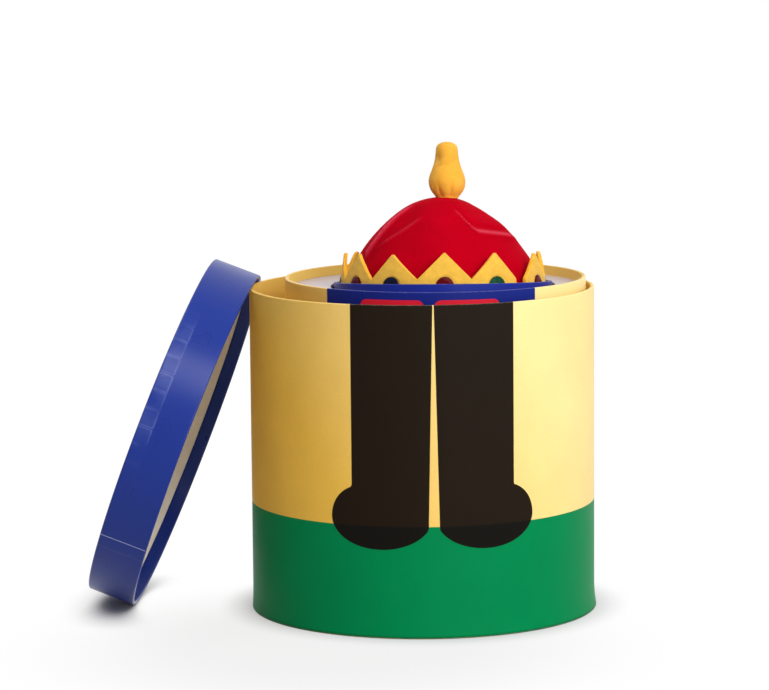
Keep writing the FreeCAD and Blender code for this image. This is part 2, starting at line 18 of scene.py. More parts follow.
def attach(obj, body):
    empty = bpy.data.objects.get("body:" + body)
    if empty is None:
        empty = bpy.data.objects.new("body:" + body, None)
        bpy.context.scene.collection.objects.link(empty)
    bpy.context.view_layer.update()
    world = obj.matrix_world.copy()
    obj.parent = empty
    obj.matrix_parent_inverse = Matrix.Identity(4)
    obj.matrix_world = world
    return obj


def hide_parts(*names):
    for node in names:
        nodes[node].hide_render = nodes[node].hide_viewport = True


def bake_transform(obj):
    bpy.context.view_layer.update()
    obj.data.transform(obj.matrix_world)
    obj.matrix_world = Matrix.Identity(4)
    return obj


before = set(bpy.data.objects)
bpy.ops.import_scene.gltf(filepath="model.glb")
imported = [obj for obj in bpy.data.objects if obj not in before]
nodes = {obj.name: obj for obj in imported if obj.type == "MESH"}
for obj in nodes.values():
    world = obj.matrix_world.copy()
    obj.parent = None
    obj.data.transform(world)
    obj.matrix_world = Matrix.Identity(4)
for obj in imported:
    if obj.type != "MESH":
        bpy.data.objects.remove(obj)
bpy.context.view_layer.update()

# %% [markdown]
# ## Camera
#
# The photograph was taken from a little above the rim with a long lens. Its place, turn and focal length
# were worked out from the ellipses of the drum's rim and foot, so the same view shows the same curves.

# %% Camera
MM = 0.001
IMAGE_WIDTH = 769
SENSOR_WIDTH = 36.0
FOCAL_PIXELS = 3295.1
CAMERA_PLACE = np.array([3.33, -1902.3, 396.5])
PITCH, YAW, ROLL = 0.1274, -0.0132, -0.0088


def show(name, data):
    """A new object in the scene that shows some data."""
    made = bpy.data.objects.new(name, data)
    bpy.context.scene.collection.objects.link(made)
    return made


def facing(right, up, back, place):
    """The matrix that puts an object at a place in metres and its own axes along three directions."""
    matrix = np.eye(4)
    matrix[:3] = np.column_stack([right, up, back, place])
    return Matrix(matrix.tolist())


forward = np.array([math.sin(YAW) * math.cos(PITCH), math.cos(YAW) * math.cos(PITCH), -math.sin(PITCH)])
level_right = np.array([math.cos(YAW), -math.sin(YAW), 0.0])
level_up = np.cross(level_right, forward)
camera_right = math.cos(ROLL) * level_right + math.sin(ROLL) * level_up
camera_up = math.cos(ROLL) * level_up - math.sin(ROLL) * level_right

camera = show("camera", bpy.data.cameras.new("camera"))
camera.data.sensor_width = SENSOR_WIDTH
camera.data.lens = FOCAL_PIXELS * SENSOR_WIDTH / IMAGE_WIDTH
camera.matrix_world = facing(camera_right, camera_up, -forward, CAMERA_PLACE * MM)
bpy.context.scene.camera = camera
print(f"lens {camera.data.lens:.1f} mm")

# %% [markdown]
# ## Helpers for colours and nodes
#
# Colours are written as sRGB hex codes, as a paint chart gives them, and turned to the linear values that
# the renderer works with. One function adds any node, and each material starts with that function for its
# own tree. A node's settings go in by name. Its sockets go in by name or as a list in order, and each is set
# to a value or linked from another node.

# %% Colours and nodes


def linear(code):
    """Linear RGBA of a hex colour: c / 12.92 up to 0.04045, above that ((c + 0.055) / 1.055) to the 2.4."""
    channels = np.array([int(code[start:start + 2], 16) for start in (1, 3, 5)]) / 255
    curved = np.where(channels <= 0.04045, channels / 12.92, ((channels + 0.055) / 1.055) ** 2.4)
    return (*curved.tolist(), 1.0)


def set_all(thing, settings):
    """Set a thing's properties by name."""
    for name, value in settings.items():
        setattr(thing, name, value)


def set_sockets(node, sockets):
    """Set or link sockets by name, or those in use in order; hex codes are colours, nodes a first output."""
    in_use = [socket for socket in node.inputs if socket.enabled]
    for key, value in sockets.items() if isinstance(sockets, dict) else enumerate(sockets):
        socket = in_use[key] if isinstance(key, int) else node.inputs[key]
        if isinstance(value, str):
            value = linear(value)
        elif isinstance(value, bpy.types.Node):
            value = next(output for output in value.outputs if output.enabled)
        if isinstance(value, bpy.types.NodeSocket):
            node.id_data.links.new(value, socket)
        else:
            socket.default_value = value


def add_node(tree, kind, sockets=(), **settings):
    """Add one shader node of a kind with its settings, and set or link its sockets."""
    made = tree.nodes.new("ShaderNode" + kind)
    set_all(made, settings)
    set_sockets(made, sockets)
    return made


def start_nodes(data):
    """Clear the nodes of a material or a world; returns add_node for its tree."""
    data.use_nodes = True
    data.node_tree.nodes.clear()
    return partial(add_node, data.node_tree)


def start_material(name, **sockets):
    """A material, add_node for its tree, its shader and places; _ is a space in a socket's name."""
    material = bpy.data.materials.new(name)
    add = start_nodes(material)
    shader = add("BsdfPrincipled", {key.replace("_", " "): value for key, value in sockets.items()})
    add("OutputMaterial", [shader])
    return material, add, shader, add("TexCoord").outputs["Object"]


def sized(place, size, **sockets):
    """Sockets of a texture whose pattern repeats about every so many mm."""
    return {"Vector": place, "Scale": 1 / (size * MM), **sockets}


def toned(add, colour, pattern, *ranges):
    """A colour made darker and lighter by a pattern, mapped from its own range to one of brightness."""
    tone = add("MapRange", [pattern, *ranges])
    return add("Mix", [1.0, colour, tone], data_type="RGBA", blend_type="MULTIPLY")


# %% [markdown]
# ## Floor, world and light
#
# The toy stands on a white studio sweep, under a pale ceiling and in front of a lit back wall. A large soft
# light to the right of the camera does most of the work. A smaller one above it puts the sheen on the lid,
# a card near the camera lifts the front, and a weak lamp from the upper left softens the shadows. A white
# floor that is lit at a plain level renders as pale grey. So what the camera sees of it is mostly plain
# white. In a patch in front of the toy, less white and more of the grey floor shows: a painted soft shadow.
# Where something stands close over the floor, the grey floor shows with its real shadow, as painted shade
# along the dark line of contact.

# %% Floor, world and light
WHITE = "#FFFFFF"
FLOOR_HALF = 30.0
SHADOW_MIDDLE = (-0.05, -0.12, 0.0)
SHADOW_REACH = (0.06, 0.20)
SHADOW_WHITE = 0.77
CONTACT_REACH = 0.035
CONTACT_SKY = (0.25, 0.85)       # shares of open sky at which the floor is all grey and all white
ROOM, CEILING, BACK_WALL = 0.02, 0.10, 0.9
CEILING_FROM_TO, WALL_FROM_TO = (0.2, 0.9), (0.1, 0.7)
TOY_MIDDLE = np.array([-0.01, 0.0, 0.12])


def seen_rays(add):
    """1 for rays that look, straight, by a mirror or through glass, and 0 for rays that gather light."""
    rays = add("LightPath").outputs
    seen = add("Math", [rays["Is Camera Ray"], rays["Is Glossy Ray"]], operation="MAXIMUM")
    return add("Math", [seen, rays["Is Transmission Ray"]], operation="MAXIMUM")


floor_mesh = bpy.data.meshes.new("studio_floor")
floor_corners = np.array([[-1, -1, 0], [1, -1, 0], [1, 1, 0], [-1, 1, 0]]) * FLOOR_HALF
floor_mesh.from_pydata(floor_corners.tolist(), [], [(0, 1, 2, 3)])
studio_floor = show("studio_floor", floor_mesh)

floor_paper = bpy.data.materials.new("white_sweep_paper")
add = start_nodes(floor_paper)
place = add("TexCoord").outputs["Object"]
# Painted shadow: the white share drops in a patch round SHADOW_MIDDLE, and near contact, so the grey floor
# shows
away = add("VectorMath", [place, SHADOW_MIDDLE], operation="DISTANCE")
whiteness = add("MapRange", [away, *SHADOW_REACH, SHADOW_WHITE, 1.0], interpolation_type="SMOOTHSTEP")
open_sky = add("AmbientOcclusion", {"Distance": CONTACT_REACH}, samples=16)
open_sky = add("MapRange", [open_sky.outputs["AO"], *CONTACT_SKY, 0.0, 1.0])
share = add("Math", [whiteness, open_sky], operation="MULTIPLY")
share = add("Math", [share, seen_rays(add)], operation="MULTIPLY")
sheet = add("BsdfDiffuse", {"Color": "#C6C4C5"})
glow = add("Emission", {"Color": WHITE, "Strength": 1.0})
add("OutputMaterial", [add("MixShader", [share, sheet, glow])])
floor_mesh.materials.append(floor_paper)

world = bpy.data.worlds.new("studio")
bpy.context.scene.world = world
add = start_nodes(world)
toward = add("SeparateXYZ", [add("TexCoord").outputs["Generated"]]).outputs
ceiling = add("MapRange", [toward["Z"], *CEILING_FROM_TO, ROOM, CEILING])
wall = add("MapRange", [toward["Y"], *WALL_FROM_TO, 0.0, BACK_WALL])
light = add("Math", [ceiling, wall], operation="ADD")
room = add("Background", {"Color": WHITE, "Strength": light})
backdrop = add("Background", {"Color": WHITE, "Strength": 1.0})
add("OutputWorld", [add("MixShader", [seen_rays(add), room, backdrop])])


def add_soft_light(name, azimuth, elevation, distance, width, watts):
    """A square lamp that faces the toy; azimuth 0 is the camera's side and 90 the right, in degrees."""
    around, above = math.radians(azimuth), math.radians(elevation)
    flat = math.cos(above)
    back = np.array([math.sin(around) * flat, -math.cos(around) * flat, math.sin(above)])
    side = np.cross([0.0, 0.0, 1.0], back)
    side = side / np.linalg.norm(side)
    lamp = show(name, bpy.data.lights.new(name, "AREA"))
    lamp.data.size = width
    lamp.data.energy = watts
    lamp.matrix_world = facing(side, np.cross(back, side), back, TOY_MIDDLE + back * distance)


add_soft_light("key_softbox", 43, 28, 2.2, 1.8, 38)
add_soft_light("high_softbox", 14, 47, 2.2, 0.8, 10)
add_soft_light("front_card", 16, 8, 2.2, 0.5, 5)
add_soft_light("top_softbox", -70, 70, 1.8, 1.2, 11)

bpy.context.scene.view_settings.view_transform = "Standard"
print(f"{len(bpy.data.lights)} lamps")

# %% [markdown]
# ## Surfaces from whole arrays
#
# A drum's paper is a section carried round an axis: each row of the grid is one ring. The same few
# functions make every piece here. They work on whole arrays, and a quad is four numbers of a grid, so no
# point is ever visited one at a time.

# %% Grids, rings and pieces
POLE_WELD = 1e-6


def grid_quads(rows, columns, rows_join):
    """Corner numbers of a grid's quads, outwards for rows that climb; columns close, rows may join."""
    low = np.arange(rows if rows_join else rows - 1)[:, None]
    left = np.arange(columns)[None, :]
    high, right = (low + 1) % rows, (left + 1) % columns
    corners = [low * columns + left, low * columns + right, high * columns + right, high * columns + left]
    return np.stack(np.broadcast_arrays(*corners), -1).reshape(-1, 4)


def turned(radius, height, angle):
    """Rings round an axis: x = radius sin(angle), y = -radius cos(angle), z = height; 0 is the front."""
    return np.stack(np.broadcast_arrays(radius * np.sin(angle), -radius * np.cos(angle), height), -1)


def placed(points, origin, axes):
    """Points of a piece's own frame in the shared frame: origin + x first axis + y second + z third."""
    return np.asarray(origin) + points @ np.asarray(axes)


def smooth_step(low, high, value):
    """0 below low, 1 above high, and 3 t squared - 2 t cubed between them."""
    share = np.clip((value - low) / (high - low), 0, 1)
    return share * share * (3 - 2 * share)


def plateau(rise, fall, value):
    """1 between a rise and a fall, each the two ends of a smooth step, and 0 outside them."""
    return smooth_step(*rise, value) * (1 - smooth_step(*fall, value))


def bell(middle, width, value):
    """1 at the middle, and less to both sides: exp(-((value - middle) / width) squared)."""
    return np.exp(-((value - middle) / width) ** 2)


def modified(mesh, kind, **settings):
    """The mesh that one modifier makes of a mesh, which it replaces."""
    name = mesh.name
    holder = show(name, mesh)
    set_all(holder.modifiers.new(kind, kind), settings)
    made = bpy.data.meshes.new_from_object(holder.evaluated_get(bpy.context.evaluated_depsgraph_get()))
    bpy.data.objects.remove(holder)
    bpy.data.meshes.remove(mesh)
    made.name = name
    return made


def mesh_of(name, points, quads, values=None):
    """A mesh of points in mm, welded at its poles; values are attributes, one number for each point."""
    mesh = bpy.data.meshes.new(name)
    mesh.from_pydata((points.reshape(-1, 3) * MM).tolist(), [], quads.tolist())
    for label, value in (values or {}).items():
        numbers = np.broadcast_to(value, points.shape[:-1]).astype(np.float32)
        mesh.attributes.new(label, "FLOAT", "POINT").data.foreach_set("value", numbers.ravel())
    return modified(mesh, "WELD", merge_threshold=POLE_WELD)


def new_piece(mesh, material, body, stands_for, smooth=True):
    """Show a mesh as a piece of the same name that rides on a body and stands for CAD nodes."""
    mesh.polygons.foreach_set("use_smooth", np.full(len(mesh.polygons), smooth))
    mesh.materials.append(material)
    piece = show(mesh.name, mesh)
    if body:
        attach(piece, body)
    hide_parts(*stands_for)
    print(f"{piece.name}: {len(mesh.polygons)} faces")
    return piece


# Frames of the pieces: origin in mm, and the three axes as rows
UPRIGHT = np.eye(3)
HEAD_LEAN = math.radians(4.8)
HEAD_ORIGIN = np.array([12.4, 0.0, 189.7])
HEAD_AXES = np.array([[1, 0, 0],
                      [0, math.cos(HEAD_LEAN), -math.sin(HEAD_LEAN)],
                      [0, math.sin(HEAD_LEAN), math.cos(HEAD_LEAN)]])
LID_LEAN, LID_YAW = math.radians(20.98), math.radians(3.3)
LID_ORIGIN = np.array([-131.8, 7.0, 96.41])
lid_out = np.array([-math.cos(LID_LEAN) * math.cos(LID_YAW), math.cos(LID_LEAN) * math.sin(LID_YAW),
                    math.sin(LID_LEAN)])
lid_back = np.array([math.sin(LID_YAW), math.cos(LID_YAW), 0.0])
LID_AXES = np.array([np.cross(lid_back, lid_out), lid_back, lid_out])

# %% [markdown]
# ## Printed paper
#
# The drums are wound from board and wrapped in offset-printed paper with a satin lacquer. Such a print has
# flat inks, but light picks out the fibre of the paper, slow waves of the board under it and the bare
# paper where edges rub. The yellow ground has painted light: it is painted paler towards the right and the
# top, where the light falls. The print itself is drawn from signed distances: each point of the grid knows
# how many millimetres it lies inside a shape, and the shader paints where that number is above zero.
# Distances change evenly from point to point, so the outline stays sharp between the points of a coarse
# grid.

# %% Paper finish
FIBRE_MM = 1.1     # paper fibre and lacquer texture; real fibres are finer, and would not show
CLOUD_MM = 22.0    # slow change of ink and lacquer over the sheet
BOARD_MM = 38.0    # waves of the wound board under the paper
INK_EDGE = 0.1     # half the soft edge of a printed shape
PAPER = 0.35       # thickness of a wrap
LAP_STEP = 0.22    # how far a wrap's end stands out over its start
RIM_ROUND = 0.5    # radius of the paper's fold over a rim
RIM_LIFT = 0.12    # how far the fold stands above the board


def paper_finish(add, shader, place, colour, roughness, ink_change, worn=None, rub_share=0.0):
    """Fibre, cloudy ink and uneven lacquer over a colour; with a worn colour, also rubbed edges."""
    fibre = add("TexNoise", sized(place, FIBRE_MM, Detail=3.0, Roughness=0.6))
    cloud = add("TexNoise", sized(place, CLOUD_MM, Detail=3.0))
    board = add("TexNoise", sized(place, BOARD_MM, Detail=1.0))
    both = add("Math", [fibre, cloud], operation="ADD")
    inked = toned(add, colour, both, 0.6, 1.4, 1 - ink_change, 1 + ink_change)
    if worn:
        edge = add("Attribute", attribute_name="edge_mm").outputs["Fac"]
        ragged = add("Math", [fibre, 1.6, -0.35], operation="MULTIPLY_ADD")
        rubbed = add("Math", [ragged, edge], operation="SUBTRACT")
        rub = add("MapRange", [rubbed, 0.0, 0.5, 0.0, rub_share])
        inked = add("Mix", [rub, inked, worn], data_type="RGBA")
    gloss = add("MapRange", [cloud, 0.2, 0.8, roughness - 0.04, roughness + 0.05])
    waves = add("Bump", {"Height": board, "Strength": 0.2, "Distance": 0.0012})
    grain = add("Bump", {"Height": fibre, "Strength": 0.25, "Distance": 0.00006, "Normal": waves})
    set_sockets(shader, {"Base Color": inked, "Roughness": gloss, "Normal": grain})


def plain_paper(name, level, *finish):
    """A paper or paper-faced board of one colour: its specular level, then what paper_finish takes."""
    material, add, shader, place = start_material(name, IOR=1.45, Specular_IOR_Level=level)
    paper_finish(add, shader, place, *finish)
    return material


def printed(add, place, inks):
    """Inks with their cover over a yellow with painted light, paler right and up: 0.03 + 6.5 x + 3.5 z, in
    m.
    """
    x, _, z = add("SeparateXYZ", [place]).outputs
    # Painted light: the yellow is mixed towards a paler one to the right and the top, where the light falls
    pale = add("Math", [x, 6.5, 0.03], operation="MULTIPLY_ADD")
    pale = add("Math", [z, 3.5, pale], operation="MULTIPLY_ADD", use_clamp=True)
    colour = add("Mix", [pale, "#F8C450", "#FFE59C"], data_type="RGBA")
    for shape, code, cover in inks:
        inside = add("Attribute", attribute_name=shape).outputs["Fac"]
        share = add("MapRange", [inside, -INK_EDGE, INK_EDGE, 0.0, cover])
        colour = add("Mix", [share, colour, code], data_type="RGBA")
    return colour


def seamed_angles(count, seam):
    """Even angles round a wrap, with two close together where the paper's end lies on its start."""
    even = np.linspace(-math.pi, math.pi, count, endpoint=False)
    return np.sort(np.concatenate([even, seam + np.array([-0.0006, 0.0006])]))


def wrap_section(radius, board, foot, rim, rows):
    """Closed section of a wrap: up its outside, over the rim on half the board and down the glued side."""
    turn = np.radians(np.linspace(0, 90, 6))
    top, glued = rim + RIM_LIFT, radius - PAPER
    outside = np.column_stack([np.full(rows, radius), np.linspace(foot, top - RIM_ROUND - 0.05, rows)])
    over = np.column_stack([radius - RIM_ROUND + RIM_ROUND * np.cos(turn),
                            top - RIM_ROUND + RIM_ROUND * np.sin(turn)])
    lip = glued - board * 0.55
    return np.concatenate([outside, over, [[lip, top], [lip, rim], [glued, rim], [glued, foot]]])


def wrap_mesh(name, radius, board, foot, rim, rows, columns, seam, lap, origin=(0, 0, 0), axes=UPRIGHT,
              figure=None, flare=None):
    """A wrap: its section round the axis, stepped out over the lapped end, with its print's distances."""
    start = math.radians(seam)
    end = start + math.radians(lap)
    angles = seamed_angles(columns, start)
    section = wrap_section(radius, board, foot, rim, rows)
    height = section[:, 1:2]
    outside = (np.arange(len(section)) < rows + 2)[:, None]
    out = section[:, 0:1] + outside * ((angles > start) & (angles < end)) * LAP_STEP
    values = {"edge_mm": np.minimum(height - foot, rim + 0.2 - height)}
    if figure:
        values.update(figure(radius * angles, height))
    if flare:
        out = out + outside * flare(angles, height)
    points = placed(turned(out, height, angles), origin, axes)
    return mesh_of(name, points, grid_quads(len(section), len(angles), rows_join=True), values)


# %% [markdown]
# ## The leg drum's print
#
# A yellow sheet with a green ground and two dark trouser legs in round shoes. The legs are plain bands that
# part in a thin wedge, and each shoe is an ellipse with a circle for its toe. Both legs are the same shape,
# mirrored about the middle of the wedge.

# %% Leg drum
LEG_RADIUS, LEG_RIM = 100.0, 187.3
LEG_MIDDLE = 6.4
LEG_OUTER = 47.1
SHOE_INNER, SHOE_OUTER = 1.2, 59.8
SHOE_LEVEL = 68.0
SOLE_DEPTH, TOE_RADIUS = 17.8, 18.0
GROUND_LEVEL = 63.4
WEDGE_TOP, WEDGE_LENGTH, WEDGE_SPREAD = 0.35, 122.7, 2.68
BLACK, BLACK_COVER = "#130C0C", 0.991
FLARE, FLARE_HEIGHT = 1.2, 14.0


def ellipse_depth(across, up, half_width, half_height):
    """About how far a point lies inside an ellipse: (1 - f) over the slope of f, f the scaled radius."""
    f = np.hypot(across / half_width, up / half_height) + 1e-6
    slope = np.hypot(across / half_width ** 2, up / half_height ** 2) / f + 1e-6
    return np.clip((1 - f) / slope, -400, 400)


def leg_depth(out, height):
    """Millimetres inside one leg and shoe; out is measured from the middle of the wedge."""
    half_wedge = WEDGE_TOP + (LEG_RIM - height) / WEDGE_LENGTH * WEDGE_SPREAD
    band = np.minimum(np.minimum(out - half_wedge, LEG_OUTER - out), height - SHOE_LEVEL)
    shoe_middle, shoe_half = (SHOE_OUTER + SHOE_INNER) / 2, (SHOE_OUTER - SHOE_INNER) / 2
    shoe = ellipse_depth(out - shoe_middle, height - SHOE_LEVEL, shoe_half, SOLE_DEPTH)
    toe = TOE_RADIUS - np.hypot(out - (SHOE_OUTER - TOE_RADIUS), height - SHOE_LEVEL)
    toe = np.minimum(toe, height - SHOE_LEVEL + 0.5)
    return np.minimum(np.maximum(np.maximum(band, shoe), toe), out - half_wedge)


def leg_figure(across, height):
    """Millimetres inside the ground and the two legs."""
    return {"ground_mm": GROUND_LEVEL - height, "left_leg_mm": leg_depth(LEG_MIDDLE - across, height),
            "right_leg_mm": leg_depth(across - LEG_MIDDLE, height)}


def foot_flare(angles, height):
    """The foot is pressed out by up to the flare over its last few mm, most on the right."""
    right = 0.35 + 0.65 * smooth_step(-0.4, 1.0, np.sin(angles))
    return FLARE * right * np.clip(1 - height / FLARE_HEIGHT, 0, 1) ** 2


# Offset print on coated paper: flat inks under a satin lacquer that mirrors pale light at a low angle
leg_paper, add, shader, place = start_material("satin_printed_paper_legs", IOR=1.45, Specular_IOR_Level=0.05)
colour = printed(add, place, [("ground_mm", "#00854C", 1.0), ("left_leg_mm", BLACK, BLACK_COVER),
                              ("right_leg_mm", BLACK, BLACK_COVER)])
paper_finish(add, shader, place, colour, 0.42, 0.05, "#F2E3B4", 0.12)

leg_mesh = wrap_mesh("leg_drum_print", LEG_RADIUS, board=1.65, foot=0.4, rim=LEG_RIM, rows=118, columns=400,
                     seam=172, lap=7, figure=leg_figure, flare=foot_flare)
new_piece(leg_mesh, leg_paper, "leg_drum", ["leg_drum_wrap"])

# %% [markdown]
# ## The torso drum's print
#
# The second drum carries on the figure: a blue coat with two red panels on the same yellow. Only its top
# shows above the box. The rest is plain, and comes up with the drum when it is lifted.

# %% Torso drum
TORSO_RADIUS = 87.2
TORSO_ORIGIN = np.array([8.0, 0.0, 0.0])
COAT_LEFT, COAT_RIGHT = -67.6, 60.4
PANELS = {"left_panel_mm": (-44.1, -6.5), "right_panel_mm": (-1.0, 36.9)}
PANEL_LOW, PANEL_HIGH, PANEL_CORNER = 62.0, 188.7, 4.0


def panel_depth(across, height, left, right):
    """Millimetres inside a panel with round corners: their radius less the distance to its inner box."""
    past_side = np.abs(across - (left + right) / 2) - (right - left) / 2 + PANEL_CORNER
    past_end = np.abs(height - (PANEL_LOW + PANEL_HIGH) / 2) - (PANEL_HIGH - PANEL_LOW) / 2 + PANEL_CORNER
    outside = np.hypot(np.maximum(past_side, 0), np.maximum(past_end, 0))
    return PANEL_CORNER - outside - np.minimum(np.maximum(past_side, past_end), 0)


def coat_figure(across, height):
    """Millimetres inside the coat and its two panels."""
    panels = {shape: panel_depth(across, height, *ends) for shape, ends in PANELS.items()}
    return {"coat_mm": np.minimum(across - COAT_LEFT, COAT_RIGHT - across), **panels}


# The same offset print and lacquer, a little glossier
coat_paper, add, shader, place = start_material("satin_printed_paper_coat", IOR=1.45, Specular_IOR_Level=0.1)
colour = printed(add, place, [("coat_mm", "#172680", 1.0)] + [(shape, "#D92339", 1.0) for shape in PANELS])
paper_finish(add, shader, place, colour, 0.34, 0.05, "#8F96C4", 0.2)

torso_mesh = wrap_mesh("torso_print", TORSO_RADIUS, board=1.7, foot=4.0, rim=193.0, rows=118, columns=360,
                       seam=168, lap=8, origin=TORSO_ORIGIN, figure=coat_figure)
new_piece(torso_mesh, coat_paper, "torso_drum", ["torso_wrap"])

# %% [markdown]
# ## The head drum's paper
#
# The smallest drum leans back a little in the ring that it comes up through. Its paper is plain blue, rubbed
# paler along the rim.

# %% Head drum
HEAD_RADIUS, HEAD_LENGTH = 63.3, 84.0

# Paper printed all over in blue, under the same lacquer
blue_paper = plain_paper("satin_blue_paper", 0.1, "#1B2B8C", 0.34, 0.07, "#7C84C0", 0.35)

head_mesh = wrap_mesh("head_drum_print", HEAD_RADIUS, board=1.6, foot=-HEAD_LENGTH, rim=0.0, rows=60,
                      columns=300, seam=165, lap=9, origin=HEAD_ORIGIN, axes=HEAD_AXES)
new_piece(head_mesh, blue_paper, "head_drum", ["head_drum_wrap"])

# %% [markdown]
# ## The lid's paper
#
# The lid is covered in blue paper: a disc on top whose border is cut into tabs and glued down the side, and
# a strip round the side that laps over itself and folds in round the open edge. The tabs press through the
# strip as a row of faint raised boxes, whose edges carry painted highlights over part of the side; the lap
# shows as a light line, and the fold is rubbed pale in places.

# %% Lid
LID_RADIUS, LID_DEPTH = 103.25, 27.9
LID_TURN_IN, LID_FOLD, LID_ROUND = 7.8, 0.85, 0.9
LID_INNER, LID_GLUED, LID_BOARD = 100.9, 101.25, 102.9
LID_CREST = 102.6
LID_LAP, LID_LAP_STEP = 9.0, 0.18
TABS, TAB_DEPTH, TAB_STEP = 60, 8.6, 0.10
TAB_HALF = 0.45     # as a share of the room for one tab
# Degrees round the lid: where the tabs and their painted highlights come and go, and where the fold is worn,
# with how far to each side
TABS_COME, TABS_GO = (-10, 13), (38, 54)
WORN_AT, WORN_WIDTH = -54, 17
UNWORN = 2.5        # added to the distance from the fold where it is not worn


def lid_section():
    """Closed section of the cover: turn-in, fold, side, round edge and top, then back on the glued faces."""
    quarter = np.radians(np.linspace(0, 90, 7))
    by_sine, by_cosine = 1 - np.sin(quarter), 1 - np.cos(quarter)
    stretches = [(LID_INNER, np.linspace(LID_TURN_IN, LID_FOLD, 7)),
                 (LID_INNER + LID_FOLD * by_cosine, LID_FOLD * by_sine),
                 (LID_RADIUS - LID_FOLD * by_sine, LID_FOLD * by_cosine),
                 (LID_RADIUS, np.linspace(LID_FOLD, LID_DEPTH - LID_ROUND, 32)[1:-1]),
                 (LID_RADIUS - LID_ROUND * by_cosine, LID_DEPTH - LID_ROUND * by_sine),
                 (np.linspace(LID_RADIUS - LID_ROUND, 0, 22)[1:], LID_DEPTH),
                 ([0, LID_BOARD], LID_DEPTH - PAPER),
                 ([LID_BOARD, LID_GLUED], PAPER),
                 (LID_GLUED, [LID_TURN_IN])]
    return np.concatenate([np.column_stack(np.broadcast_arrays(*stretch)) for stretch in stretches])


lid_seam = math.radians(-30.8)
lid_angles = seamed_angles(640, lid_seam)[None, :]
lid_turn = np.degrees(lid_angles)
lid_round, lid_high = np.split(lid_section(), 2, axis=1)
lid_side = (lid_round > LID_RADIUS - 0.4) & (lid_high > 0.5)
past_seam = LID_RADIUS * (lid_angles - lid_seam)
tab_place = lid_angles * TABS / (2 * math.pi)
from_tab = (TAB_HALF - np.abs(tab_place - np.round(tab_place))) * 2 * math.pi * LID_RADIUS / TABS
tab_inside = np.minimum(from_tab, lid_high - (LID_DEPTH - TAB_DEPTH))
tabs_shown = plateau(TABS_COME, TABS_GO, lid_turn) * lid_side
fold_kept = 1 - bell(WORN_AT, WORN_WIDTH, lid_turn)
raised = TAB_STEP * tabs_shown * smooth_step(-0.5, 0.5, tab_inside)
raised = raised + LID_LAP_STEP * ((past_seam > -LID_LAP) & (past_seam < 0)) * lid_side
lid_points = placed(turned(lid_round + raised, lid_high, lid_angles), LID_ORIGIN, LID_AXES)
lid_values = {"tab_mm": tab_inside, "past_seam_mm": past_seam, "tabs_shown": tabs_shown, "side": lid_side,
              "edge_mm": np.hypot(lid_high, LID_CREST - lid_round) + UNWORN * fold_kept}

# Blue cover paper with a satin lacquer: pale outlines round the tabs are painted highlights, and the lap's
# end is painted as a pale line
lid_paper, add, shader, place = start_material("satin_blue_cover_paper", IOR=1.45, Specular_IOR_Level=0.3)
tab, past, shown, side = (add("Attribute", attribute_name=label).outputs["Fac"]
                          for label in ("tab_mm", "past_seam_mm", "tabs_shown", "side"))
patchy = add("TexNoise", sized(place, 17, Detail=2.0))
patchy = add("MapRange", [patchy, 0.36, 0.62, 0.1, 1.7])
# Painted highlight: pale lines round the tabs, patchy, and only over the stretch of side where the tabs show
line = add("Math", [tab], operation="ABSOLUTE")
line = add("MapRange", [line, 0.6, 0.1, 0.0, 0.12])
filled = add("MapRange", [tab, -0.3, 0.3, 0.0, 0.05])
outline = add("Math", [line, filled], operation="ADD")
for factor in (patchy, shown):
    outline = add("Math", [outline, factor], operation="MULTIPLY")
seam_line = add("Math", [past], operation="ABSOLUTE")
seam_line = add("MapRange", [seam_line, 0.32, 0.1, 0.0, 0.4])
seam_line = add("Math", [seam_line, side], operation="MULTIPLY")
colour = add("Mix", [outline, "#0F2D88", "#8E9BD6"], data_type="RGBA")
colour = add("Mix", [seam_line, colour, "#D6D9EC"], data_type="RGBA")
paper_finish(add, shader, place, colour, 0.29, 0.07, "#C4C9E4", 0.7)

lid_mesh = mesh_of("lid_cover", lid_points, grid_quads(*lid_points.shape[:2], rows_join=True), lid_values)
new_piece(lid_mesh, lid_paper, "lid", ["lid_wrap"])

# %% [markdown]
# ## The felt crown
#
# A strip of thick wool felt is cut into twelve points and curved inside the head drum's rim, where it leans
# in. Its two ends do not quite meet: the gap between them shows on the right. Felt has no weave: short
# fibres lie every way, the faces are soft and a little fluffy, and a cut edge is denser and brighter. Each
# stone sits in a dimple pressed into the felt.

# %% Crown
POINTS = 12
FELT, CUT_ROUND, DIMPLE = 2.2, 0.55, 0.75
CROWN_LEAN = math.tan(math.radians(7.4))
CROWN_RADIUS = 61.05
CROWN_FOOT, CROWN_VALLEY, CROWN_TIP = -12.0, 2.5, 17.0
STONE_LEVEL, STONE_RADIUS = -1.0, 5.2
STRIP_JOINT, STRIP_OPENING = 48.6, 8.2
TIP_HALF, JOINT_SLOPE = 0.5, 0.25     # in degrees
JOINT_FLOOR = 0.6
POINT_STEPS = 10
HAND_CUT = np.array([0.0, 0.5, -0.6, 0.4, -0.7, 0.6, 0.3, -0.5, 0.4, -1.3, 0.3, 1.2])
strip_start, strip_length = STRIP_JOINT + STRIP_OPENING / 2, 360 - STRIP_OPENING
point_turns = strip_start + (np.arange(POINTS) + 0.5) * strip_length / POINTS + HAND_CUT


def crown_radius(level):
    """Outside radius of the leaning band at a level above the head drum's rim."""
    return CROWN_RADIUS - (level - CROWN_FOOT) * CROWN_LEAN


